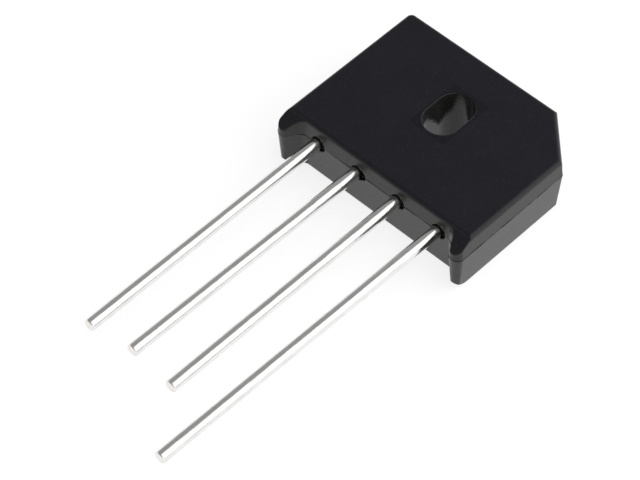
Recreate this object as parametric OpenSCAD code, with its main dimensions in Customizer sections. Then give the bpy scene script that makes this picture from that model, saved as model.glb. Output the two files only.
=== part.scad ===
// Single-phase bridge rectifier in a flat in-line package.
// A moulded case with a screw slot, two front feet and one bevelled corner carries four
// round wire leads. Inside, each lead is coined into a flat paddle; the paddles carry four
// dice, and three copper straps close the bridge.
// The origin is the middle of the screw slot on the resting face. The leads leave towards -Y.

/* [Case] */
// Width of the case across its two sides, at the parting plane
case_w = 23.3; // [22.6:0.1:25]
// Depth of the case from the lead face to the rear face, at the parting plane
case_d = 17.4; // [17:0.1:19]
// Thickness of the case
case_t = 6.7; // [6.4:0.1:8]
// Height of the parting plane, and of the leads, above the resting face
parting_z = 4.7; // [4.2:0.1:5]
// Size of the bevel on the corner beside the positive lead
bevel = 4.5; // [3.5:0.1:5]
// How far the walls lean in above the parting plane
upper_draft = 0.15; // [0.05:0.05:0.3]
// How far the walls lean in below the parting plane
lower_draft = 0.35; // [0.05:0.05:0.35]
// Radius of the edges round the top face and the resting face
edge_r = 0.45; // [0.2:0.05:0.45]
// Radius of the upright corners at the parting plane
corner_r = 0.8; // [0.8:0.05:1.2]

/* [Screw slot] */
// Width of the slot across the case
slot_w = 3.8; // [3.4:0.1:4.2]
// Length of the slot from front to rear
slot_l = 5.7; // [4.6:0.1:6.2]
// Distance from the lead face to the middle of the slot
slot_y = 9.95; // [9.7:0.05:10.4]

/* [Feet] */
// How far the two feet reach in front of the lead face
foot_reach = 1.6; // [1.3:0.05:1.9]
// Radius of the tip of a foot, seen from above
foot_r = 0.85; // [0.8:0.05:0.95]
// Width of a foot where it leaves the lead face
foot_w = 2.15; // [2.05:0.05:2.6]
// Slant of the inner wall of a foot
foot_slant = 31; // [20:1:35]
// How far the top of a foot has dropped at its tip
foot_drop = 1.3; // [0.8:0.1:1.6]
// How far the underside of a foot has risen at its tip
foot_rise = 1.4; // [0.8:0.1:1.6]
// How far behind the lead face the slopes above and below a foot start
foot_back = 1; // [0.9:0.1:1.2]
// Radius of the crowned slopes above and below a foot
foot_crown_r = 5; // [3:0.5:8]
// Radius of the cove between a foot and the lead face
cove_r = 1.2; // [0.8:0.1:1.5]

/* [Leads] */
// Diameter of the lead wires
lead_d = 1.27; // [1.1:0.01:1.35]
// Pitch of the leads
pitch = 5.08; // [4.9:0.01:5.3]
// Length of the negative lead outside the case
minus_length = 29.4; // [25.4:0.1:40]
// Length of the first alternating current lead outside the case
ac1_length = 28.7; // [25.4:0.1:40]
// Length of the second alternating current lead outside the case
ac2_length = 29.1; // [25.4:0.1:40]
// Length of the positive lead outside the case
plus_length = 35; // [25.4:0.1:40]
// Lean of the negative lead towards +X
minus_lean = 0.2; // [-1:0.1:1]
// Lean of the first alternating current lead towards +X
ac1_lean = -0.4; // [-1:0.1:1]
// Lean of the second alternating current lead towards +X
ac2_lean = 0; // [-1:0.1:1]
// Lean of the positive lead towards +X
plus_lean = -0.6; // [-1:0.1:1]
// Bevel round the cut end of a lead
tip_bevel = 0.08; // [0.04:0.02:0.2]

/* [Lead exits] */
// Radius of the shallow recess where a lead leaves the case
exit_r = 0.85; // [0.8:0.05:1.1]
// Depth of the recess below the lead face
exit_depth = 0.45; // [0.3:0.05:0.8]
// How far the recess sits to the +X side of its lead
exit_shift = 0.15; // [0:0.05:0.4]
// Radius of the moulding void beside the first alternating current lead
void_r = 0.6; // [0.4:0.05:0.7]
// Depth of the moulding void
void_depth = 0.9; // [0.5:0.1:1.2]
// Distance of the void from the middle of its lead
void_shift = 0.6; // [0.5:0.05:1.2]

/* [Lead frame] */
// Thickness of the coined paddles
frame_t = 0.5; // [0.4:0.05:0.6]
// Where the round wire steps down to a square neck, behind the lead face
grip_start = 0.1; // [0.05:0.05:0.15]
// Side of the square neck that the moulding grips
grip_w = 0.86; // [0.7:0.02:0.88]
// Length of the square neck
grip_length = 1.7; // [1.4:0.1:1.8]
// Length over which the square neck is coined down to the paddle
coin_length = 1; // [0.7:0.1:1.1]
// Width of the neck behind the first alternating current lead
neck_w = 1.6; // [1.4:0.1:1.8]
// Gap between neighbouring paddles
frame_gap = 0.8; // [0.5:0.1:1]
// Moulding left between the slot and the metal
slot_wall = 0.8; // [0.6:0.1:1]
// Moulding left between the metal and the outer walls
side_wall = 1.2; // [1:0.1:1.4]
// Half width of the paddle of the positive lead
plus_half = 2.8; // [2.4:0.1:2.9]
// Half width of the paddle of the negative lead
minus_half = 1.7; // [1.5:0.1:1.9]
// Bare metal left round what is soldered to a paddle
land = 0.2; // [0.1:0.05:0.3]

/* [Dice and straps] */
// Side of a die
die_w = 3; // [2.4:0.1:3]
// Thickness of a die
die_t = 0.3; // [0.25:0.05:0.4]
// Side of the contact metal and solder on a die
contact_w = 2.5; // [2:0.1:2.6]
// Thickness of a solder joint
solder_t = 0.1; // [0.05:0.05:0.15]
// Thickness of the straps
strap_t = 0.3; // [0.2:0.05:0.4]
// Width of the straps
strap_w = 1.4; // [1:0.1:1.6]
// Length of the raised end of a strap
strap_end = 1; // [0.8:0.1:1.1]
// Run of the bend behind the raised end of a strap
strap_bend = 0.5; // [0.4:0.1:0.6]
// Gap between a die and the raised end of a strap
die_gap = 0.4; // [0.3:0.1:0.5]
// Distance from the front edge of the second paddle to the die on it
die_set_in = 0.8; // [0.5:0.1:1.5]

/* [Hidden] */
$fn = 96;

// Overlap that keeps cuts and joins clear of coincident faces
eps = 0.1;
// How far a blend bites into the walls that it joins
blend = 0.02;
// Angle at which the tip of a foot turns into its outer wall
foot_turn = 12;

side = case_w / 2;
front = -slot_y;
rear = front + case_d;

// Leads from -X to +X: negative, alternating, alternating, positive
MINUS = 0;
AC1 = 1;
AC2 = 2;
PLUS = 3;
lead_length = [minus_length, ac1_length, ac2_length, plus_length];
lead_lean = [minus_lean, ac1_lean, ac2_lean, plus_lean];
function lead_x(i) = (i - (len(lead_length) - 1) / 2) * pitch;

// Heights of the layers under the lead frame, from the paddles down
frame_z = parting_z - frame_t / 2;
die_top = frame_z - solder_t;
die_z = die_top - die_t;
strap_top = die_z - solder_t;
strap_z = strap_top - strap_t;
strap_rise = die_top - strap_top;

// Space round the slot that stays free of metal
keep_x = slot_w / 2 + slot_wall;
keep_y = slot_l / 2 + slot_wall;

// Outlines of the paddles
coin_end = front + grip_start + grip_length + coin_length;
paddle_front = coin_end - land;
minus_left = lead_x(MINUS) - minus_half;
plus_left = lead_x(PLUS) - plus_half;
plus_right = lead_x(PLUS) + plus_half;
ac2_left = lead_x(AC1) + neck_w / 2 + frame_gap;
ac2_right = plus_left - frame_gap;
ac1_left = -side + side_wall;
ac1_front = -keep_y + frame_gap;
// Sum of x and y along the line that keeps the metal off the bevel
bevel_line = side + rear - bevel - side_wall * sqrt(2);

// Places of the dice
front_row_y = -keep_y - land - die_w / 2;
die_ac2_at = [ac2_left + land + die_w / 2, front_row_y];
die_plus_front_at = [lead_x(PLUS), front_row_y];
die_plus_rear_at = [lead_x(PLUS), bevel_line - lead_x(PLUS) - die_w - land];
die_ac1_at = [(ac1_left - keep_x) / 2, ac1_front + die_set_in + die_w / 2];

// Places of the straps and of their raised ends
rear_run_y = keep_y + die_gap + strap_w / 2;
paddle_rear = rear_run_y + strap_w / 2 + land;
rear_leg_x = lead_x(PLUS) - (contact_w - strap_w) / 2 - strap_w / 2;
rear_end_x = -keep_x - land - strap_bend - strap_end;
front_end_x = die_ac2_at.x + die_w / 2 + die_gap;
common_end_x = minus_left + land;

// ---------------------------------------------------------------- moulded case

// What rounding takes off the edge of a flat face at [0, 0] whose wall leans out by
// `draft` over `height`
module edge_spandrel(draft, height) {
    lean = atan(draft / height);
    run = edge_r / tan((90 + lean) / 2);
    wall = [sin(lean), cos(lean)];
    outward = [cos(lean), -sin(lean)];
    difference() {
        polygon([
            [-run, -eps], eps * (outward - wall), run * wall + eps * outward,
            run * wall, [-run, edge_r]
        ]);
        translate([-run, edge_r]) circle(edge_r);
    }
}

// Section of a wall whose face stands `reach` out from its corner centre at the parting plane
module wall_section(reach) {
    difference() {
        polygon([
            [0, 0], [reach - lower_draft, 0], [reach, parting_z],
            [reach - upper_draft, case_t], [0, case_t]
        ]);
        translate([reach - lower_draft, 0]) edge_spandrel(lower_draft, parting_z);
        translate([reach - upper_draft, case_t])
            mirror([0, 1]) edge_spandrel(upper_draft, case_t - parting_z);
    }
}

// Wall sections back to back, drawn out along Y: one wall faces +X and the other -X
module walled_run(right, left) {
    rotate([90, 0, 0]) linear_extrude(2 * case_w, center = true) {
        wall_section(right);
        mirror([1, 0]) wall_section(left);
    }
}

// Rounds the upright corner whose walls face -X and +Y
module corner_cut(centre) {
    translate(centre) difference() {
        translate([-2 * corner_r, 0, -eps]) cube([2 * corner_r, 2 * corner_r, case_t + 2 * eps]);
        rotate_extrude() wall_section(corner_r + blend);
    }
}

// The block of the case without its feet
module case_block() {
    bevel_reach = (side + rear - bevel) / sqrt(2);
    difference() {
        intersection() {
            walled_run(side, side);
            rotate(90) walled_run(rear, -front);
            rotate(45) walled_run(bevel_reach, case_w);
        }
        corner_cut([corner_r - side, rear - corner_r]);
    }
}

// Plain section of a drafted wall, without edge rounding
module draft_section(reach) {
    polygon([
        [0, 0], [reach - lower_draft, 0], [reach, parting_z],
        [reach - upper_draft, case_t], [0, case_t]
    ]);
}

// Foot on the +X side: a slanted tongue with a round tip, coved into the lead face and
// sloped off above and below
module foot() {
    back = front + 2 * corner_r;
    root = [side - foot_w, front];
    intersection() {
        union() {
            tongue(root, back);
            cove(root);
        }
        rotate([90, 0, 90]) linear_extrude(side + eps) foot_profile(back);
    }
}

// Tongue of a foot between its slanted inner wall, its outer wall and its round tip
module tongue(root, back) {
    tip = [side - foot_r * cos(foot_turn), front - foot_reach + foot_r];
    intersection() {
        // Outer wall, in line with the side of the case
        translate([0, back, 0]) rotate([90, 0, 0])
            linear_extrude(back - front + 2 * foot_reach) wall_section(side);
        // Inner wall
        translate(root) rotate(foot_slant) translate([foot_w, 2 * foot_w, 0])
            rotate([90, 0, 0]) mirror([1, 0, 0]) linear_extrude(4 * foot_w) draft_section(foot_w);
        // Round tip
        union() {
            translate(tip) rotate_extrude() draft_section(foot_r);
            translate([root.x - foot_w, tip.y, 0])
                cube([2 * foot_w + eps, back - tip.y, case_t]);
        }
    }
}

// Foot seen from the side, from the tip to `back`: flat faces that crown off towards the tip
module foot_profile(back) {
    difference() {
        translate([front - foot_reach - eps, 0])
            square([back - front + foot_reach + eps, case_t]);
        foot_slope(foot_back, foot_drop);
        translate([0, case_t]) mirror([0, 1]) foot_slope(foot_back, foot_rise);
    }
}

// Cove between the lead face and the inner wall of a foot, which meet at `root`
module cove(root) {
    run = cove_r / tan((90 + foot_slant) / 2);
    centre = root + [-run, -cove_r];
    on_foot = root + run * [sin(foot_slant), -cos(foot_slant)];
    into_foot = corner_r * [cos(foot_slant), sin(foot_slant)];
    // The cove bites a little deeper than the walls, so that it crosses them
    bite = cove_r + blend;
    difference() {
        linear_extrude(case_t) polygon([
            centre, on_foot, on_foot + into_foot, root + [0, corner_r],
            root + [-run, corner_r]
        ]);
        translate(centre) rotate_extrude() difference() {
            translate([0, -eps]) square([bite + corner_r, case_t + 2 * eps]);
            translate([bite + corner_r, 0]) mirror([1, 0]) wall_section(corner_r);
        }
    }
}

// What a crowned slope takes off the top of that view, from `back` behind the lead face to
// `drop` at the tip
module foot_slope(back, drop) {
    top = [front + back, case_t];
    low = [front - foot_reach, case_t - drop];
    chord = norm(top - low);
    inward = [(top - low).y, -(top - low).x] / chord;
    crown = (top + low) / 2 + inward * sqrt(pow(foot_crown_r, 2) - pow(chord / 2, 2));
    difference() {
        polygon([
            top, low, low - [2 * eps, 0], [low.x - 2 * eps, case_t + eps], [top.x, case_t + eps]
        ]);
        translate(crown) circle(foot_crown_r);
    }
}

// Slot for the mounting screw
module screw_slot() {
    span = (slot_l - slot_w) / 2;
    translate([0, 0, -eps]) {
        for (way = [-1, 1]) translate([0, way * span, 0]) cylinder(case_t + 2 * eps, d = slot_w);
        translate([-slot_w / 2, -span, 0]) cube([slot_w, 2 * span, case_t + 2 * eps]);
    }
}

// Round recess in the lead face, `shift` from the middle of lead i
module face_recess(i, radius, depth, shift) {
    translate([lead_x(i) + shift, front + depth, parting_z])
        rotate([90, 0, 0]) cylinder(depth + eps, r = radius);
}

module body() {
    color([0.13, 0.13, 0.15]) difference() {
        union() {
            case_block();
            foot();
            mirror([1, 0, 0]) foot();
        }
        screw_slot();
        for (i = [MINUS : PLUS]) face_recess(i, exit_r, exit_depth, exit_shift);
        face_recess(AC1, void_r, void_depth, void_shift);
        lead_minus();
        lead_ac1();
        lead_ac2();
        lead_plus();
        dice();
        straps();
        joints();
    }
}

// ---------------------------------------------------------------- leads

// Round wire of lead i with its cut end
module wire(i) {
    translate([lead_x(i), front, parting_z]) rotate([90, 0, lead_lean[i]]) {
        translate([0, 0, -grip_start]) cylinder(lead_length[i] + grip_start - tip_bevel, d = lead_d);
        translate([0, 0, lead_length[i] - tip_bevel])
            cylinder(tip_bevel, d1 = lead_d, d2 = lead_d - 2 * tip_bevel);
    }
}

// Square neck behind the wire of lead i, coined down to the thickness of the paddle
module shank(i) {
    grip = front + grip_start;
    coin = grip + grip_length;
    translate([lead_x(i), 0, parting_z]) rotate([90, 0, 90])
        linear_extrude(grip_w, center = true) polygon([
            [grip, -grip_w / 2], [coin, -grip_w / 2], [coin_end, -frame_t / 2],
            [coin_end, frame_t / 2], [coin, grip_w / 2], [grip, grip_w / 2]
        ]);
}

// Coined paddle with the given outline
module paddle(outline) {
    translate([0, 0, frame_z]) linear_extrude(frame_t) polygon(outline);
}

module lead_minus() {
    right = lead_x(MINUS) + minus_half;
    color([0.78, 0.78, 0.76]) {
        wire(MINUS);
        shank(MINUS);
        paddle([
            [minus_left, paddle_front], [right, paddle_front],
            [right, -keep_y], [minus_left, -keep_y]
        ]);
    }
}

module lead_ac1() {
    neck_left = lead_x(AC1) - neck_w / 2;
    neck_right = lead_x(AC1) + neck_w / 2;
    color([0.78, 0.78, 0.76]) {
        wire(AC1);
        shank(AC1);
        paddle([
            [neck_left, paddle_front], [neck_right, paddle_front],
            [neck_right, -keep_y - (neck_right + keep_x)], [-keep_x, -keep_y],
            [-keep_x, paddle_rear], [ac1_left, paddle_rear],
            [ac1_left, ac1_front], [neck_left, ac1_front]
        ]);
    }
}

module lead_ac2() {
    color([0.78, 0.78, 0.76]) {
        wire(AC2);
        shank(AC2);
        paddle([
            [ac2_left, paddle_front], [ac2_right, paddle_front],
            [ac2_right, -keep_y], [ac2_left, -keep_y]
        ]);
    }
}

module lead_plus() {
    color([0.78, 0.78, 0.76]) {
        wire(PLUS);
        shank(PLUS);
        paddle([
            [plus_left, paddle_front], [plus_right, paddle_front],
            [plus_right, bevel_line - plus_right], [bevel_line - paddle_rear, paddle_rear],
            [plus_left, paddle_rear]
        ]);
    }
}

// ---------------------------------------------------------------- dice, straps and solder

// Square slab centred over `at`
module slab(at, width, length, bottom, height) {
    translate([at.x - width / 2, at.y - length / 2, bottom]) cube([width, length, height]);
}

module die(at) {
    color([0.35, 0.36, 0.4]) slab(at, die_w, die_w, die_z, die_t);
}

// Solder over or under a die
module die_joint(at, bottom) {
    color([0.62, 0.62, 0.64]) slab(at, contact_w, contact_w, bottom, solder_t);
}

// Solder between the raised end of a strap, starting at `left`, and the paddle over it
module strap_joint(left, y) {
    color([0.62, 0.62, 0.64])
        slab([left + strap_end / 2, y], strap_end, strap_w, die_top, solder_t);
}

// Strip along X whose end at `left` is raised to the paddles
module strap_run(left, right, y) {
    bend = left + strap_end;
    flat = bend + strap_bend;
    translate([0, y + strap_w / 2, strap_z]) rotate([90, 0, 0])
        linear_extrude(strap_w) polygon([
            [left, strap_rise], [bend, strap_rise], [flat, 0], [right, 0],
            [right, strap_t], [flat, strap_t], [bend, strap_rise + strap_t],
            [left, strap_rise + strap_t]
        ]);
}

// Landing of a strap under a die
module strap_pad(at) {
    slab(at, contact_w, contact_w, strap_z, strap_t);
}

// Strip along Y between two heights of y
module strap_leg(x, near, far) {
    slab([x, (near + far) / 2], strap_w, far - near, strap_z, strap_t);
}

// Joins the rear die of the positive paddle to the first alternating current lead
module strap_rear() {
    color([0.72, 0.45, 0.3]) {
        strap_run(rear_end_x, rear_leg_x + strap_w / 2, rear_run_y);
        strap_leg(rear_leg_x, die_plus_rear_at.y, rear_run_y + strap_w / 2);
        strap_pad(die_plus_rear_at);
    }
}

// Joins the front die of the positive paddle to the second alternating current lead
module strap_front() {
    color([0.72, 0.45, 0.3]) {
        strap_run(front_end_x, die_plus_front_at.x, front_row_y);
        strap_pad(die_plus_front_at);
    }
}

// Joins the dice of both alternating current paddles to the negative lead
module strap_common() {
    color([0.72, 0.45, 0.3]) {
        strap_run(common_end_x, die_ac2_at.x, front_row_y);
        strap_leg(die_ac1_at.x, front_row_y, die_ac1_at.y);
        strap_pad(die_ac1_at);
        strap_pad(die_ac2_at);
    }
}

module dice() {
    die(die_plus_rear_at);
    die(die_plus_front_at);
    die(die_ac1_at);
    die(die_ac2_at);
}

module straps() {
    strap_rear();
    strap_front();
    strap_common();
}

module joints() {
    for (at = [die_plus_rear_at, die_plus_front_at, die_ac1_at, die_ac2_at]) {
        die_joint(at, die_top);
        die_joint(at, strap_top);
    }
    strap_joint(rear_end_x, rear_run_y);
    strap_joint(front_end_x, front_row_y);
    strap_joint(common_end_x, front_row_y);
}

body();
lead_minus();
lead_ac1();
lead_ac2();
lead_plus();
die(die_plus_rear_at);  // die_plus_rear
die(die_plus_front_at);  // die_plus_front
die(die_ac1_at);  // die_ac1
die(die_ac2_at);  // die_ac2
strap_rear();
strap_front();
strap_common();
die_joint(die_plus_rear_at, die_top);  // joint_01
die_joint(die_plus_rear_at, strap_top);  // joint_02
die_joint(die_plus_front_at, die_top);  // joint_03
die_joint(die_plus_front_at, strap_top);  // joint_04
die_joint(die_ac1_at, die_top);  // joint_05
die_joint(die_ac1_at, strap_top);  // joint_06
die_joint(die_ac2_at, die_top);  // joint_07
die_joint(die_ac2_at, strap_top);  // joint_08
strap_joint(rear_end_x, rear_run_y);  // joint_09
strap_joint(front_end_x, front_row_y);  // joint_10
strap_joint(common_end_x, front_row_y);  // joint_11
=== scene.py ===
"""Dresses a packed bridge rectifier and sets a small studio round it.

The CAD solids are the fixed frame and keep their shapes. This script gives every one of
them its finish, adds the thin flash that a mould leaves along its parting plane, and makes
the floor, the lamps and the camera.
"""

import logging
import math
from dataclasses import dataclass, field
from enum import Enum

import bpy
import bmesh
from mathutils import Matrix, Vector, noise


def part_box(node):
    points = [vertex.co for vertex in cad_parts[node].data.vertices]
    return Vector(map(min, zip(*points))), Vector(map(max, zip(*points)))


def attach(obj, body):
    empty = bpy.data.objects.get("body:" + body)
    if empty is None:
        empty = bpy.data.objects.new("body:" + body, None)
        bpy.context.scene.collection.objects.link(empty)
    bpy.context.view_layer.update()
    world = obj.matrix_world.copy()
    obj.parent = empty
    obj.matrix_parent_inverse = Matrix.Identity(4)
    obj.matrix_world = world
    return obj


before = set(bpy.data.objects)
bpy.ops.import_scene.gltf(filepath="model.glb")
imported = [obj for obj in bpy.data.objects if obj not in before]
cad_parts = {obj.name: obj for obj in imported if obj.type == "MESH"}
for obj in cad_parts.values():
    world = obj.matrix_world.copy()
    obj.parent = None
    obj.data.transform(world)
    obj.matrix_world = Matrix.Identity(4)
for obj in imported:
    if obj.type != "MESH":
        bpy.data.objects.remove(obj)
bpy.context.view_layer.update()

MM = 0.001
LOG = logging.getLogger("rectifier")

Feed = bpy.types.NodeSocket | float | tuple[float, ...]
Colour = tuple[float, float, float, float]
Stretch = tuple[float, float, float]


class Part(Enum):
    """Material slots of the record, by what they are made of."""

    CASE = "body"
    LEAD = "lead"
    DIE = "die"
    STRAP = "strap"
    SOLDER = "solder"


class Wiring:
    """Adds nodes to one node tree and joins them."""

    def __init__(self, tree: bpy.types.NodeTree) -> None:
        """Takes the tree to work in.

        Args:
            tree: Node tree of a material, a world or a group.
        """
        self.tree = tree

    def feed(self, socket: bpy.types.NodeSocket, value: Feed) -> None:
        """Links a socket to an input, or sets the input to a constant.

        Args:
            socket: The input to fill.
            value: An output socket, a number or a tuple of numbers.
        """
        if isinstance(value, bpy.types.NodeSocket):
            self.tree.links.new(value, socket)
        else:
            socket.default_value = value

    def add(
        self, kind: str, feeds: dict[str | int, Feed] | None = None, **settings: object
    ) -> bpy.types.Node:
        """Adds one node.

        Args:
            kind: Blender's name of the node type.
            feeds: What goes into each input, by the input's name or place.
            settings: Properties of the node.

        Returns:
            The new node.
        """
        node = self.tree.nodes.new(kind)
        for name, value in settings.items():
            setattr(node, name, value)
        for name, value in (feeds or {}).items():
            self.feed(node.inputs[name], value)
        return node

    def math(self, operation: str, *values: Feed, clamp: bool = False) -> bpy.types.NodeSocket:
        """Works out one number from others.

        Args:
            operation: Name of the Math node's operation.
            values: Its operands, in order.
            clamp: Whether the result is kept between 0 and 1.

        Returns:
            The output socket.
        """
        feeds = dict(enumerate(values))
        return self.add("ShaderNodeMath", feeds, operation=operation, use_clamp=clamp).outputs[0]

    def remap(
        self, value: Feed, low: float, high: float, to_low: Feed = 0.0, to_high: Feed = 1.0
    ) -> bpy.types.NodeSocket:
        """Moves a value from one range to another and keeps it inside.

        Args:
            value: The value to move.
            low: Lower end of the first range.
            high: Upper end of the first range.
            to_low: What `low` becomes.
            to_high: What `high` becomes.

        Returns:
            The output socket.
        """
        feeds = {
            "Value": value, "From Min": low, "From Max": high,
            "To Min": to_low, "To Max": to_high,
        }
        return self.add("ShaderNodeMapRange", feeds, clamp=True).outputs["Result"]

    def mix(self, share: Feed, first: Feed, second: Feed) -> bpy.types.NodeSocket:
        """Mixes two colours.

        Args:
            share: Share of the second colour, from 0 to 1.
            first: Colour at 0.
            second: Colour at 1.

        Returns:
            The output socket.
        """
        node = self.add("ShaderNodeMix", data_type="RGBA")
        for place, value in ((0, share), (6, first), (7, second)):
            self.feed(node.inputs[place], value)
        return node.outputs[2]

    def noise(
        self, vector: Feed, scale: Feed, detail: float = 2.0, roughness: float = 0.5
    ) -> bpy.types.NodeSocket:
        """Adds a noise pattern.

        Args:
            vector: Where the pattern is read.
            scale: Features in each unit of length.
            detail: Number of finer layers.
            roughness: Weight of the finer layers.

        Returns:
            The noise value, from 0 to 1.
        """
        feeds = {"Vector": vector, "Scale": scale, "Detail": detail, "Roughness": roughness}
        return self.add("ShaderNodeTexNoise", feeds).outputs[0]

    def scaled(self, vector: Feed, factors: Feed) -> bpy.types.NodeSocket:
        """Multiplies a vector by another, axis by axis.

        Args:
            vector: The vector to stretch.
            factors: How much each axis grows.

        Returns:
            The output socket.
        """
        node = self.add("ShaderNodeVectorMath", {0: vector, 1: factors}, operation="MULTIPLY")
        return node.outputs[0]


def new_group(
    name: str, inputs: dict[str, Feed], values: tuple[str, ...], normals: tuple[str, ...] = ()
) -> tuple[Wiring, bpy.types.Node, bpy.types.Node]:
    """Starts a shader node group.

    Args:
        name: Name of the group.
        inputs: Input names with their usual values, where a tuple makes a vector.
        values: Names of the outputs that are plain values.
        normals: Names of the outputs that are normals.

    Returns:
        The wiring of the group, its input node and its output node.
    """
    tree = bpy.data.node_groups.new(name, "ShaderNodeTree")
    for label, value in inputs.items():
        kind = "NodeSocketVector" if isinstance(value, tuple) else "NodeSocketFloat"
        socket = tree.interface.new_socket(name=label, in_out="INPUT", socket_type=kind)
        socket.default_value = value
    for labels, kind in ((values, "NodeSocketFloat"), (normals, "NodeSocketVector")):
        for label in labels:
            tree.interface.new_socket(name=label, in_out="OUTPUT", socket_type=kind)
    wiring = Wiring(tree)
    return wiring, wiring.add("NodeGroupInput"), wiring.add("NodeGroupOutput")


class Effects:
    """The shader node groups that several finishes share. Lengths in them are millimetres."""

    def __init__(self) -> None:
        """Builds every group once."""
        self.grain = self._grain()
        self.mottle = self._mottle()
        self.scuffs = self._scuffs()
        self.edges = self._edges()

    @staticmethod
    def _grain() -> bpy.types.NodeTree:
        """Builds the fine grain of a moulded or cast skin.

        Returns:
            The group, with the height of the grain and a mask of stray bright grains.
        """
        wiring, start, end = new_group(
            "Grain", {"Vector": (0.0, 0.0, 0.0), "Size": 0.15, "Rarity": 0.7}, ("Height", "Grains")
        )
        scale = wiring.math("DIVIDE", 1.0, start.outputs["Size"])
        fine = wiring.noise(start.outputs["Vector"], scale, detail=3.0, roughness=0.65)
        cells = wiring.add(
            "ShaderNodeTexVoronoi", {"Vector": start.outputs["Vector"], "Scale": scale}
        )
        dome = wiring.math("SUBTRACT", 1.0, cells.outputs["Distance"], clamp=True)
        height = wiring.math("ADD", fine, wiring.math("MULTIPLY", dome, 0.35))
        pick = wiring.add("ShaderNodeSeparateColor", {0: cells.outputs["Color"]}).outputs[0]
        rare = wiring.math("GREATER_THAN", pick, start.outputs["Rarity"])
        spot = wiring.remap(cells.outputs["Distance"], 0.15, 0.5, 1.0, 0.0)
        wiring.feed(end.inputs["Height"], height)
        wiring.feed(end.inputs["Grains"], wiring.math("MULTIPLY", rare, spot))
        return wiring.tree

    @staticmethod
    def _mottle() -> bpy.types.NodeTree:
        """Builds soft, uneven clouds.

        Returns:
            The group, with one mask that runs from 0 to 1.
        """
        wiring, start, end = new_group(
            "Mottle", {"Vector": (0.0, 0.0, 0.0), "Size": 2.0}, ("Clouds",)
        )
        scale = wiring.math("DIVIDE", 1.0, start.outputs["Size"])
        clouds = wiring.noise(start.outputs["Vector"], scale, detail=4.0, roughness=0.6)
        wiring.feed(end.inputs["Clouds"], wiring.remap(clouds, 0.3, 0.7))
        return wiring.tree

    @staticmethod
    def _scuffs() -> bpy.types.NodeTree:
        """Builds thin scratches that all run about the same way.

        Returns:
            The group, with a mask of the scratches.
        """
        wiring, start, end = new_group(
            "Scuffs",
            {"Vector": (0.0, 0.0, 0.0), "Stretch": (6.0, 0.5, 6.0), "Angle": 0.3, "Amount": 0.3},
            ("Mask",),
        )
        turned = wiring.add(
            "ShaderNodeVectorRotate",
            {"Vector": start.outputs["Vector"], "Angle": start.outputs["Angle"]},
            rotation_type="Z_AXIS",
        ).outputs[0]
        lines = wiring.noise(
            wiring.scaled(turned, start.outputs["Stretch"]), 1.0, detail=2.0, roughness=0.7
        )
        where = wiring.noise(start.outputs["Vector"], 0.35, detail=1.0)
        limit = wiring.remap(start.outputs["Amount"], 0.0, 1.0, 0.78, 0.5)
        over = wiring.math("SUBTRACT", lines, limit)
        mask = wiring.math("MULTIPLY", over, 14.0, clamp=True)
        patchy = wiring.math("MULTIPLY", mask, wiring.remap(where, 0.4, 0.6, 0.15, 1.0))
        wiring.feed(end.inputs["Mask"], patchy)
        return wiring.tree

    @staticmethod
    def _edges() -> bpy.types.NodeTree:
        """Finds the edges of a solid, where handling rubs its skin, and where the epoxy gets a
        painted highlight.

        Returns:
            The group, with a mask that is 1 on sharp edges and the normal of softened edges.
        """
        wiring, start, end = new_group(
            "Edges", {"Reach": 0.2, "Gain": 3.0}, ("Mask",), ("Soft Normal",)
        )
        reach = wiring.math("MULTIPLY", start.outputs["Reach"], MM)
        soft = wiring.add("ShaderNodeBevel", {"Radius": reach}, samples=6).outputs[0]
        flat = wiring.add("ShaderNodeNewGeometry").outputs["Normal"]
        same = wiring.add("ShaderNodeVectorMath", {0: soft, 1: flat}, operation="DOT_PRODUCT")
        away = wiring.math("SUBTRACT", 1.0, same.outputs["Value"])
        mask = wiring.math("MULTIPLY", away, start.outputs["Gain"], clamp=True)
        wiring.feed(end.inputs["Mask"], mask)
        wiring.feed(end.inputs["Soft Normal"], soft)
        return wiring.tree


class Finish:
    """What every finish shares: a material with a Principled shader in it."""

    def start(self, name: str) -> tuple[bpy.types.Material, Wiring, bpy.types.Node]:
        """Starts a material.

        Args:
            name: Name of the material.

        Returns:
            The material, its wiring and its Principled shader.
        """
        material = bpy.data.materials.new(name)
        material.use_nodes = True
        material.node_tree.nodes.clear()
        wiring = Wiring(material.node_tree)
        shader = wiring.add("ShaderNodeBsdfPrincipled")
        wiring.add("ShaderNodeOutputMaterial", {"Surface": shader.outputs[0]})
        return material, wiring, shader

    def millimetres(self, wiring: Wiring) -> bpy.types.NodeSocket:
        """Reads the place on the part in millimetres.

        Args:
            wiring: Wiring of the material.

        Returns:
            The output socket.
        """
        place = wiring.add("ShaderNodeTexCoord").outputs["Object"]
        return wiring.scaled(place, (1 / MM, 1 / MM, 1 / MM))

    def effect(
        self, wiring: Wiring, group: bpy.types.NodeTree, **feeds: Feed
    ) -> bpy.types.Node:
        """Places a shared effect in a material.

        Args:
            wiring: Wiring of the material.
            group: The effect.
            feeds: What goes into each input.

        Returns:
            The group's node.
        """
        return wiring.add("ShaderNodeGroup", checked_feeds(group, feeds), node_tree=group)

    def bump(
        self, wiring: Wiring, shader: bpy.types.Node, height: Feed, depth: float,
        under: bpy.types.NodeSocket | None = None,
    ) -> None:
        """Gives a shader a fine relief.

        Args:
            wiring: Wiring of the material.
            shader: The Principled shader.
            height: Height of the relief, from 0 to 1.
            depth: What a height of 1 means, in millimetres.
            under: Normal that the relief lies on, if it isn't the surface's own.
        """
        bump = wiring.add("ShaderNodeBump", {"Height": height, "Distance": depth * MM})
        if under is not None:
            wiring.feed(bump.inputs["Normal"], under)
        wiring.feed(shader.inputs["Normal"], bump.outputs[0])


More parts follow.
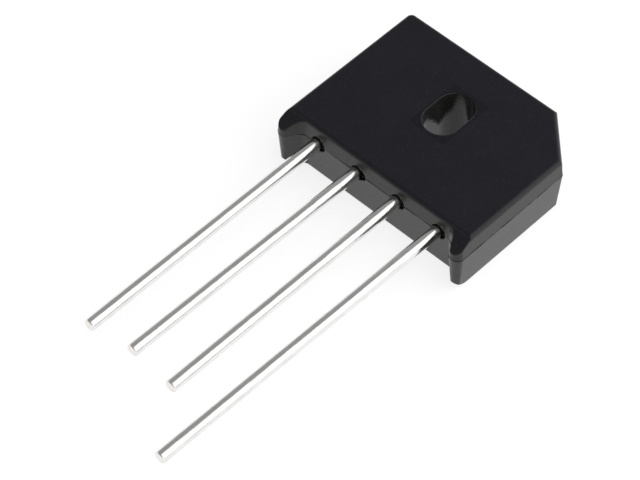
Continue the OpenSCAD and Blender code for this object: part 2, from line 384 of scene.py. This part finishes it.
def checked_feeds(group: bpy.types.NodeTree, feeds: dict[str, Feed]) -> dict[str | int, Feed]:
    """Checks the names of a group's inputs.

    Args:
        group: The shader node group.
        feeds: What goes into each input.

    Returns:
        The same feeds, once every name is known to the group.

    Raises:
        KeyError: If the group has no input of that name.
    """
    known = {item.name for item in group.interface.items_tree if item.in_out == "INPUT"}
    for name in feeds:
        if name not in known:
            raise KeyError(f"{group.name} has no input {name}")
    return dict(feeds)


@dataclass(frozen=True)
class MouldedEpoxy(Finish):
    """Black moulding compound: a matt, faintly blue face and smoother walls, greyer partly by
    their own tone and partly as painted reflection of the white floor.

    Lengths are millimetres.
    """

    face: Colour = (0.0032, 0.0028, 0.0078, 1.0)
    # Wall colour: partly the walls' own tone, partly painted reflection of the white floor.
    wall: Colour = (0.0150, 0.0150, 0.0138, 1.0)
    filler: Colour = (0.060, 0.060, 0.062, 1.0)
    # Colour of the painted edge highlight, also used for real scuffs.
    rubbed_and_sheen: Colour = (0.042, 0.041, 0.039, 1.0)
    # Painted shade for the gap of the parting seam.
    seam_shade: Colour = (0.0008, 0.0008, 0.0008, 1.0)
    grain: float = 0.17
    clouds: float = 2.6
    face_roughness: float = 0.42
    wall_roughness: float = 0.27
    slot_roughness: float = 0.12
    slot_half: tuple[float, float] = (2.2, 3.2)
    parting: float = 4.7
    seam_width: float = 0.05
    pitch: float = 5.08
    first_lead: float = -7.62
    front: float = -9.3
    seam_place: float = 0.76
    seam_share: float = 0.1
    seam_wander: float = 0.08
    seam_depth: float = 4.0
    scratches: Stretch = (5.0, 0.6, 5.0)
    wear_and_sheen: float = 0.35
    relief: float = 0.007
    ior: float = 1.43

    def build(self, effects: Effects) -> bpy.types.Material:
        """Makes the material.

        Args:
            effects: The shared node groups.

        Returns:
            The material.
        """
        material, wiring, shader = self.start("moulded_epoxy")
        place = self.millimetres(wiring)
        grain = self.effect(wiring, effects.grain, Vector=place, Size=self.grain, Rarity=0.9)
        clouds = self.effect(wiring, effects.mottle, Vector=place, Size=self.clouds)
        scuffs = self.effect(
            wiring, effects.scuffs, Vector=place, Stretch=self.scratches, Angle=0.8, Amount=0.2
        )
        edges = self.effect(wiring, effects.edges, Reach=0.22, Gain=2.5)
        cloud = clouds.outputs["Clouds"]
        normal = wiring.add("ShaderNodeNewGeometry").outputs["Normal"]
        upright = wiring.add("ShaderNodeSeparateXYZ", {0: normal}).outputs["Z"]
        facing = wiring.remap(wiring.math("ABSOLUTE", upright), 0.35, 0.95)

        # Painted reflection, in part: walls get a greyer colour than upward faces, standing in
        # partly for the white floor they mirror; the rest is their own tone.
        base = wiring.mix(facing, self.wall, self.face)
        shade = wiring.remap(grain.outputs["Height"], 0.35, 0.9, 0.55, 1.5)
        shade = wiring.math("MULTIPLY", shade, wiring.remap(cloud, 0.0, 1.0, 0.85, 1.15))
        base = wiring.scaled(base, self.grey(wiring, shade))
        fleck = wiring.math("MULTIPLY", grain.outputs["Grains"], 0.3)
        base = wiring.mix(fleck, base, self.filler)
        # Painted highlight: the edge mask lightens the rims as if their rounding caught the
        # softbox; the scuff marks mixed in are real wear.
        sheen_and_scuffs = wiring.math("MULTIPLY", edges.outputs["Mask"], cloud)
        sheen_and_scuffs = wiring.math("MAXIMUM", sheen_and_scuffs, wiring.math("MULTIPLY", scuffs.outputs["Mask"], 0.4))
        base = wiring.mix(wiring.math("MULTIPLY", sheen_and_scuffs, self.wear_and_sheen), base, self.rubbed_and_sheen)
        seam_gap_and_shade = self.seam_gap_and_shade(wiring, place, upright)
        # Painted shade: the gap of the parting seam is coloured darker than the black epoxy
        # itself.
        wiring.feed(shader.inputs["Base Color"], wiring.mix(seam_gap_and_shade, base, self.seam_shade))

        rough = wiring.remap(facing, 0.0, 1.0, self.wall_roughness, self.face_roughness)
        rough = wiring.math("ADD", rough, wiring.remap(cloud, 0.0, 1.0, -0.03, 0.03))
        inside = self.in_slot(wiring, place)
        slick = wiring.math("SUBTRACT", rough, self.slot_roughness)
        rough = wiring.math("SUBTRACT", rough, wiring.math("MULTIPLY", inside, slick))
        wiring.feed(shader.inputs["Roughness"], wiring.math("MAXIMUM", rough, seam_gap_and_shade))
        shader.inputs["IOR"].default_value = self.ior
        gap = wiring.math("MULTIPLY", seam_gap_and_shade, self.seam_depth)
        height = wiring.math("SUBTRACT", grain.outputs["Height"], gap)
        self.bump(wiring, shader, height, self.relief, edges.outputs["Soft Normal"])
        return material

    def grey(self, wiring: Wiring, value: Feed) -> bpy.types.NodeSocket:
        """Makes a grey vector of one value.

        Args:
            wiring: Wiring of the material.
            value: The value of every axis.

        Returns:
            The output socket.
        """
        feeds = {axis: value for axis in range(3)}
        return wiring.add("ShaderNodeCombineXYZ", feeds).outputs[0]

    def in_slot(self, wiring: Wiring, place: Feed) -> bpy.types.NodeSocket:
        """Finds the screw slot, which lies round the origin.

        Args:
            wiring: Wiring of the material.
            place: The place on the part, in millimetres.

        Returns:
            A mask that is 1 in a box round the slot, the flat faces at its mouths included.
        """
        parts = wiring.add("ShaderNodeSeparateXYZ", {0: place})
        inside = [
            wiring.math("LESS_THAN", wiring.math("ABSOLUTE", parts.outputs[axis]), half)
            for axis, half in zip("XY", self.slot_half)
        ]
        return wiring.math("MULTIPLY", *inside)

    def seam_gap_and_shade(self, wiring: Wiring, place: Feed, upright: Feed) -> bpy.types.NodeSocket:
        """Finds where the parting line gapes a little beside the leads, to dent it and to paint
        shade into the gap.

        Args:
            wiring: Wiring of the material.
            place: The place on the part, in millimetres.
            upright: How far the surface faces up.

        Returns:
            A mask that is 1 in the seam.
        """
        parts = wiring.add("ShaderNodeSeparateXYZ", {0: place})
        wander = wiring.remap(
            wiring.noise(place, 0.8), 0.0, 1.0, -self.seam_wander, self.seam_wander
        )
        off = wiring.math("SUBTRACT", parts.outputs["Z"], self.parting)
        off = wiring.math("ABSOLUTE", wiring.math("ADD", off, wander))
        line = wiring.math("LESS_THAN", off, self.seam_width)
        along = wiring.math("SUBTRACT", parts.outputs["X"], self.first_lead)
        turn = wiring.math("FRACT", wiring.math("DIVIDE", along, self.pitch))
        beside = wiring.math("COMPARE", turn, self.seam_place, self.seam_share)
        front = wiring.math("LESS_THAN", parts.outputs["Y"], self.front)
        wall = wiring.math("LESS_THAN", wiring.math("ABSOLUTE", upright), 0.5)
        gaping = wiring.math("MULTIPLY", line, beside)
        return wiring.math("MULTIPLY", gaping, wiring.math("MULTIPLY", front, wall))


@dataclass(frozen=True)
class TinnedWire(Finish):
    """Bright tin over copper wire, drawn lengthwise, with bare metal on its cut end."""

    tin: Colour = (0.86, 0.855, 0.845, 1.0)
    dull: Colour = (0.66, 0.655, 0.645, 1.0)
    copper: Colour = (0.86, 0.70, 0.60, 1.0)
    roughness: float = 0.16
    dull_roughness: float = 0.32
    streaks: Stretch = (11.0, 0.22, 11.0)
    dents: Stretch = (1.6, 0.55, 1.6)
    shear: Stretch = (2.0, 1.0, 14.0)
    scratches: Stretch = (7.0, 1.4, 7.0)
    end_facing: float = -0.9
    dent_depth: float = 9.0
    relief: float = 0.0022

    def build(self, effects: Effects) -> bpy.types.Material:
        """Makes the material.

        Args:
            effects: The shared node groups.

        Returns:
            The material.
        """
        material, wiring, shader = self.start("tinned_wire")
        place = self.millimetres(wiring)
        clouds = self.effect(wiring, effects.mottle, Vector=place, Size=0.9)
        drawn = wiring.noise(wiring.scaled(place, self.streaks), 1.0, detail=3.0)
        dents = wiring.noise(wiring.scaled(place, self.dents), 1.0, detail=2.0)
        scuffs = self.effect(
            wiring, effects.scuffs, Vector=place, Stretch=self.scratches, Angle=0.5, Amount=0.35
        )
        dulled = wiring.math(
            "MAXIMUM", wiring.math("MULTIPLY", scuffs.outputs["Mask"], 0.8),
            wiring.remap(clouds.outputs["Clouds"], 0.4, 1.0, 0.0, 0.4),
        )
        dulled = wiring.math("MAXIMUM", dulled, wiring.remap(drawn, 0.56, 0.7, 0.0, 0.9))
        base = wiring.mix(dulled, self.tin, self.dull)
        normal = wiring.add("ShaderNodeNewGeometry").outputs["True Normal"]
        along = wiring.add("ShaderNodeSeparateXYZ", {0: normal}).outputs["Y"]
        cut = wiring.math("LESS_THAN", along, self.end_facing)
        shear = wiring.noise(wiring.scaled(place, self.shear), 1.0, detail=2.0)
        bare = wiring.math("MULTIPLY", cut, wiring.remap(shear, 0.35, 0.65, 0.0, 0.4))
        wiring.feed(shader.inputs["Base Color"], wiring.mix(bare, base, self.copper))
        shader.inputs["Metallic"].default_value = 1.0
        rough = wiring.remap(dulled, 0.0, 1.0, self.roughness, self.dull_roughness)
        wiring.feed(shader.inputs["Roughness"], rough)
        relief = wiring.math("ADD", drawn, wiring.math("MULTIPLY", dents, self.dent_depth))
        relief = wiring.math("SUBTRACT", relief, scuffs.outputs["Mask"])
        self.bump(wiring, shader, relief, self.relief)
        return material


@dataclass(frozen=True)
class DicedSilicon(Finish):
    """Sawn silicon with a glassy rim, dark and slightly blue."""

    face: Colour = (0.105, 0.11, 0.135, 1.0)
    rim: Colour = (0.21, 0.20, 0.19, 1.0)

    def build(self, effects: Effects) -> bpy.types.Material:
        """Makes the material.

        Args:
            effects: The shared node groups.

        Returns:
            The material.
        """
        material, wiring, shader = self.start("diced_silicon")
        place = self.millimetres(wiring)
        clouds = self.effect(wiring, effects.mottle, Vector=place, Size=0.7)
        saw = wiring.noise(wiring.scaled(place, (1.0, 1.0, 30.0)), 1.0, detail=2.0)
        edges = self.effect(wiring, effects.edges, Reach=0.2, Gain=4.0)
        base = wiring.mix(edges.outputs["Mask"], self.face, self.rim)
        wiring.feed(shader.inputs["Base Color"], base)
        shader.inputs["Metallic"].default_value = 0.6
        rough = wiring.remap(clouds.outputs["Clouds"], 0.0, 1.0, 0.18, 0.3)
        wiring.feed(shader.inputs["Roughness"], rough)
        self.bump(wiring, shader, saw, 0.0012)
        return material


@dataclass(frozen=True)
class StampedCopper(Finish):
    """Rolled copper strip with a warm tarnish and rubbed edges."""

    bright: Colour = (0.86, 0.50, 0.34, 1.0)
    tarnish: Colour = (0.50, 0.25, 0.16, 1.0)

    def build(self, effects: Effects) -> bpy.types.Material:
        """Makes the material.

        Args:
            effects: The shared node groups.

        Returns:
            The material.
        """
        material, wiring, shader = self.start("stamped_copper")
        place = self.millimetres(wiring)
        clouds = self.effect(wiring, effects.mottle, Vector=place, Size=1.2)
        edges = self.effect(wiring, effects.edges, Reach=0.08, Gain=3.0)
        scuffs = self.effect(
            wiring, effects.scuffs, Vector=place, Stretch=(0.8, 12.0, 6.0), Angle=0.05, Amount=0.4
        )
        aged = wiring.math("SUBTRACT", clouds.outputs["Clouds"], edges.outputs["Mask"], clamp=True)
        wiring.feed(shader.inputs["Base Color"], wiring.mix(aged, self.bright, self.tarnish))
        shader.inputs["Metallic"].default_value = 1.0
        wiring.feed(shader.inputs["Roughness"], wiring.remap(aged, 0.0, 1.0, 0.22, 0.42))
        self.bump(wiring, shader, scuffs.outputs["Mask"], 0.0015)
        return material


@dataclass(frozen=True)
class SoftSolder(Finish):
    """Frozen solder: dull grey with a fine crystal skin."""

    skin: Colour = (0.60, 0.60, 0.60, 1.0)
    crystals: Colour = (0.44, 0.44, 0.45, 1.0)

    def build(self, effects: Effects) -> bpy.types.Material:
        """Makes the material.

        Args:
            effects: The shared node groups.

        Returns:
            The material.
        """
        material, wiring, shader = self.start("soft_solder")
        place = self.millimetres(wiring)
        grain = self.effect(wiring, effects.grain, Vector=place, Size=0.09, Rarity=0.5)
        clouds = self.effect(wiring, effects.mottle, Vector=place, Size=0.5)
        base = wiring.mix(grain.outputs["Grains"], self.skin, self.crystals)
        wiring.feed(shader.inputs["Base Color"], base)
        shader.inputs["Metallic"].default_value = 1.0
        rough = wiring.remap(clouds.outputs["Clouds"], 0.0, 1.0, 0.32, 0.5)
        wiring.feed(shader.inputs["Roughness"], rough)
        self.bump(wiring, shader, grain.outputs["Height"], 0.0036)
        return material


class Wardrobe:
    """Every finish, built once and handed out by part."""

    def __init__(self) -> None:
        """Builds the materials from the shared effects."""
        effects = Effects()
        finishes = {
            Part.CASE: MouldedEpoxy(),
            Part.LEAD: TinnedWire(),
            Part.DIE: DicedSilicon(),
            Part.STRAP: StampedCopper(),
            Part.SOLDER: SoftSolder(),
        }
        self.materials = {part: finish.build(effects) for part, finish in finishes.items()}

    def dress(self, piece: bpy.types.Object, part: Part) -> None:
        """Puts a finish on a piece.

        Args:
            piece: A CAD node or a piece of the scene.
            part: What it is made of.
        """
        if not piece.material_slots:
            piece.data.materials.append(self.materials[part])
        for slot in piece.material_slots:
            slot.material = self.materials[part]


@dataclass
class Rectifier:
    """The whole part: which CAD node is made of what."""

    case: tuple[str, ...] = ("body",)
    leads: tuple[str, ...] = ("lead_minus", "lead_ac1", "lead_ac2", "lead_plus")
    dice: tuple[str, ...] = ("die_plus_rear", "die_plus_front", "die_ac1", "die_ac2")
    straps: tuple[str, ...] = ("strap_rear", "strap_front", "strap_common")
    joint_count: int = 11
    joints: tuple[str, ...] = field(init=False)

    def __post_init__(self) -> None:
        """Names the solder joints from their number."""
        self.joints = tuple(f"joint_{i:02d}" for i in range(1, self.joint_count + 1))

    def dress(self, wardrobe: Wardrobe) -> None:
        """Gives every CAD node its finish.

        Args:
            wardrobe: The finishes.
        """
        groups = {
            Part.CASE: self.case, Part.LEAD: self.leads, Part.DIE: self.dice,
            Part.STRAP: self.straps, Part.SOLDER: self.joints,
        }
        for part, names in groups.items():
            for name in names:
                wardrobe.dress(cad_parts[name], part)
                LOG.info("%s: %s", name, part.value)


@dataclass
class PartingFlash:
    """The thin, uneven ridge that the mould leaves where its two halves meet."""

    node: str = "body"
    level_of: str = "lead_ac2"
    reach: float = 0.05 * MM
    half: float = 0.035 * MM
    sink: float = 0.05 * MM
    step: float = 0.3 * MM
    merge: float = 0.001 * MM
    inner_x: float = 9.3 * MM
    least_lean: float = 0.002
    most_lean: float = 0.3
    mean: float = 0.45
    waves: tuple[tuple[float, float], ...] = ((0.9, 700.0), (0.5, 2600.0))
    least: float = 0.15

    def build(self, wardrobe: Wardrobe) -> bpy.types.Object:
        """Builds the ridge along every stretch of the parting line.

        Args:
            wardrobe: The finishes.

        Returns:
            The ridge.
        """
        shape = bmesh.new()
        for run in self._runs():
            self._sweep(shape, self._divided(run))
        bmesh.ops.recalc_face_normals(shape, faces=shape.faces)
        mesh = bpy.data.meshes.new("parting_flash")
        shape.to_mesh(mesh)
        shape.free()
        piece = bpy.data.objects.new("parting_flash", mesh)
        bpy.context.scene.collection.objects.link(piece)
        wardrobe.dress(piece, Part.CASE)
        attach(piece, "root")
        LOG.info("%s: %d faces", piece.name, len(mesh.polygons))
        return piece

    def _runs(self) -> list[list[tuple[Vector, Vector]]]:
        """Follows the edge between the upper and the lower walls of the case.

        Returns:
            Stretches of the line, each a list of points with the way out of the wall.
        """
        low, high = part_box(self.level_of)
        level = (low.z + high.z) / 2
        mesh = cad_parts[self.node].data
        out: dict[tuple[int, ...], Vector] = {}
        place: dict[tuple[int, ...], Vector] = {}
        links: dict[tuple[int, ...], set[tuple[int, ...]]] = {}
        for face in mesh.polygons:
            if not self.least_lean <= abs(face.normal.z) <= self.most_lean:
                continue
            corners = [mesh.vertices[i].co for i in face.vertices]
            for a, b in zip(corners, corners[1:] + corners[:1]):
                flat = max(abs(a.z - level), abs(b.z - level)) < self.merge
                within = abs(a.x - b.x) < self.merge and abs(a.x) < self.inner_x
                if not flat or within or (a - b).length < self.merge:
                    continue
                ends = []
                for point in (a, b):
                    key = tuple(round(value / self.merge) for value in point)
                    place[key] = point.copy()
                    way = Vector((face.normal.x, face.normal.y, 0.0)).normalized()
                    out[key] = out.get(key, Vector()) + way
                    ends.append(key)
                links.setdefault(ends[0], set()).add(ends[1])
                links.setdefault(ends[1], set()).add(ends[0])
        runs = []
        while links:
            start = min(links, key=lambda key: (len(links[key]), key))
            run = [start]
            while links.get(run[-1]):
                follower = min(links[run[-1]])
                links[run[-1]].discard(follower)
                links[follower].discard(run[-1])
                run.append(follower)
            for key in [key for key, others in links.items() if not others]:
                del links[key]
            if len(run) > 1:
                runs.append([(place[key], out[key].normalized()) for key in run])
        return runs

    def _divided(self, run: list[tuple[Vector, Vector]]) -> list[tuple[Vector, Vector]]:
        """Adds points on long stretches, so that the ridge can vary.

        Args:
            run: Points with the way out of the wall.

        Returns:
            The same line with more points.
        """
        result = [run[0]]
        for (a, out_a), (b, out_b) in zip(run, run[1:]):
            count = max(1, math.ceil((b - a).length / self.step))
            for i in range(1, count + 1):
                share = i / count
                result.append((a.lerp(b, share), out_a.lerp(out_b, share).normalized()))
        return result

    def _sweep(self, shape: bmesh.types.BMesh, run: list[tuple[Vector, Vector]]) -> None:
        """Draws the section of the ridge along a stretch and closes its ends.

        Args:
            shape: The mesh to add to.
            run: Points with the way out of the wall.
        """
        rings = []
        for point, way in run:
            height = self.mean
            for depth, rate in self.waves:
                height += depth * noise.noise(point * rate)
            tip = point + way * self.reach * min(max(height, self.least), 1.0)
            root = point - way * self.sink
            rise = Vector((0.0, 0.0, self.half))
            rings.append([shape.verts.new(co) for co in (root + rise, tip, root - rise)])
        for first, second in zip(rings, rings[1:]):
            for i in range(3):
                j = (i + 1) % 3
                shape.faces.new((first[i], first[j], second[j], second[i]))
        shape.faces.new(rings[0])
        shape.faces.new(reversed(rings[-1]))


@dataclass
class Studio:
    """Floor, surroundings, softbox and camera. Lengths are metres and angles degrees."""

    floor_size: float = 6.0
    floor_drop: float = 0.00002
    floor_white: float = 0.8
    seen_white: float = 0.35
    seen_glow: float = 0.8
    horizon: float = 1.0
    overhead: float = 0.41
    haze: tuple[float, float] = (0.12, 0.3)
    box_reach: float = 0.5
    box_tilt: float = 41.0
    box_back: float = 0.449
    box_width: float = 0.70
    box_length: float = 1.1
    box_radiance: float = 1.06
    lens: float = 155.8
    sensor: float = 36.0
    azimuth: float = 44.116
    elevation: float = 51.254
    roll: float = -0.41
    distance: float = 0.26293
    clip_ratio: float = 100.0
    target: tuple[float, float, float] = (-0.003839, -0.013506, -0.00327)

    def build(self) -> None:
        """Sets up everything round the part."""
        scene = bpy.context.scene
        scene.view_settings.view_transform = "Standard"
        self._floor()
        self._surroundings()
        self._softbox()
        scene.camera = self._camera()

    def _floor(self) -> None:
        """Lays a white floor that keeps the shadow of the part."""
        grid = bmesh.new()
        bmesh.ops.create_grid(grid, x_segments=1, y_segments=1, size=self.floor_size / 2)
        mesh = bpy.data.meshes.new("floor")
        grid.to_mesh(mesh)
        grid.free()
        floor = bpy.data.objects.new("floor", mesh)
        floor.location.z = -self.floor_drop
        bpy.context.scene.collection.objects.link(floor)

        material = bpy.data.materials.new("floor_paper")
        material.use_nodes = True
        material.node_tree.nodes.clear()
        wiring = Wiring(material.node_tree)
        path = wiring.add("ShaderNodeLightPath")
        seen = wiring.math("ADD", path.outputs["Is Camera Ray"], path.outputs["Is Glossy Ray"])
        seen = wiring.math("ADD", seen, path.outputs["Is Transmission Ray"], clamp=True)
        paper = wiring.add("ShaderNodeBsdfDiffuse", {"Color": (*[self.floor_white] * 3, 1.0)})
        shown = wiring.add("ShaderNodeBsdfDiffuse", {"Color": (*[self.seen_white] * 3, 1.0)})
        glow = wiring.add("ShaderNodeEmission", {"Strength": self.seen_glow})
        both = wiring.add("ShaderNodeAddShader", {0: shown.outputs[0], 1: glow.outputs[0]})
        feeds = {0: seen, 1: paper.outputs[0], 2: both.outputs[0]}
        front = wiring.add("ShaderNodeMixShader", feeds)
        clear = wiring.add("ShaderNodeBsdfTransparent")
        behind = wiring.add("ShaderNodeNewGeometry").outputs["Backfacing"]
        feeds = {0: behind, 1: front.outputs[0], 2: clear.outputs[0]}
        surface = wiring.add("ShaderNodeMixShader", feeds)
        wiring.add("ShaderNodeOutputMaterial", {"Surface": surface.outputs[0]})
        floor.data.materials.append(material)

    def _surroundings(self) -> None:
        """Makes the room: white at the horizon and dimmer overhead."""
        world = bpy.data.worlds.new("room")
        world.use_nodes = True
        world.node_tree.nodes.clear()
        wiring = Wiring(world.node_tree)
        way = wiring.add("ShaderNodeTexCoord").outputs["Generated"]
        height = wiring.add("ShaderNodeSeparateXYZ", {0: way}).outputs["Z"]
        level = wiring.remap(height, *self.haze, self.horizon, self.overhead)
        room = wiring.add("ShaderNodeBackground", {"Strength": level})
        wiring.add("ShaderNodeOutputWorld", {"Surface": room.outputs[0]})
        bpy.context.scene.world = world

    def _softbox(self) -> None:
        """Hangs the large softbox over the positive side, a little to the rear."""
        across = math.sqrt(1 - self.box_back ** 2)
        tilt = math.radians(self.box_tilt)
        way = Vector((math.sin(tilt) * across, self.box_back, math.cos(tilt) * across))
        lamp = bpy.data.lights.new("softbox", "AREA")
        lamp.shape = "RECTANGLE"
        lamp.size = self.box_width
        lamp.size_y = self.box_length
        lamp.energy = self.box_radiance * math.pi * self.box_width * self.box_length
        holder = bpy.data.objects.new("softbox", lamp)
        side = Vector((0, 1, 0)).cross(way).normalized()
        up = way.cross(side)
        holder.matrix_world = Matrix.Translation(way * self.box_reach) @ Matrix(
            (side, up, way)
        ).transposed().to_4x4()
        bpy.context.scene.collection.objects.link(holder)

    def _camera(self) -> bpy.types.Object:
        """Sets the camera.

        Returns:
            The camera's object.
        """
        azimuth, elevation = math.radians(self.azimuth), math.radians(self.elevation)
        back = Vector((
            math.sin(azimuth) * math.cos(elevation),
            -math.cos(azimuth) * math.cos(elevation),
            math.sin(elevation),
        ))
        right = Vector((math.cos(azimuth), math.sin(azimuth), 0))
        turn = Matrix.Rotation(math.radians(self.roll), 3, back)
        right = turn @ right
        data = bpy.data.cameras.new("camera")
        data.lens = self.lens
        data.sensor_width = self.sensor
        data.clip_start = self.distance / self.clip_ratio
        data.clip_end = self.distance * self.clip_ratio
        camera = bpy.data.objects.new("camera", data)
        turned = Matrix((right, back.cross(right), back)).transposed().to_4x4()
        place = Matrix.Translation(Vector(self.target) + back * self.distance)
        camera.matrix_world = place @ turned
        bpy.context.scene.collection.objects.link(camera)
        return camera


def main() -> None:
    """Dresses the part and builds the studio."""
    logging.basicConfig(level=logging.INFO, format="%(name)s: %(message)s")
    wardrobe = Wardrobe()
    Rectifier().dress(wardrobe)
    PartingFlash().build(wardrobe)
    Studio().build()
    LOG.info("studio ready")


if __name__ == "__main__":
    main()
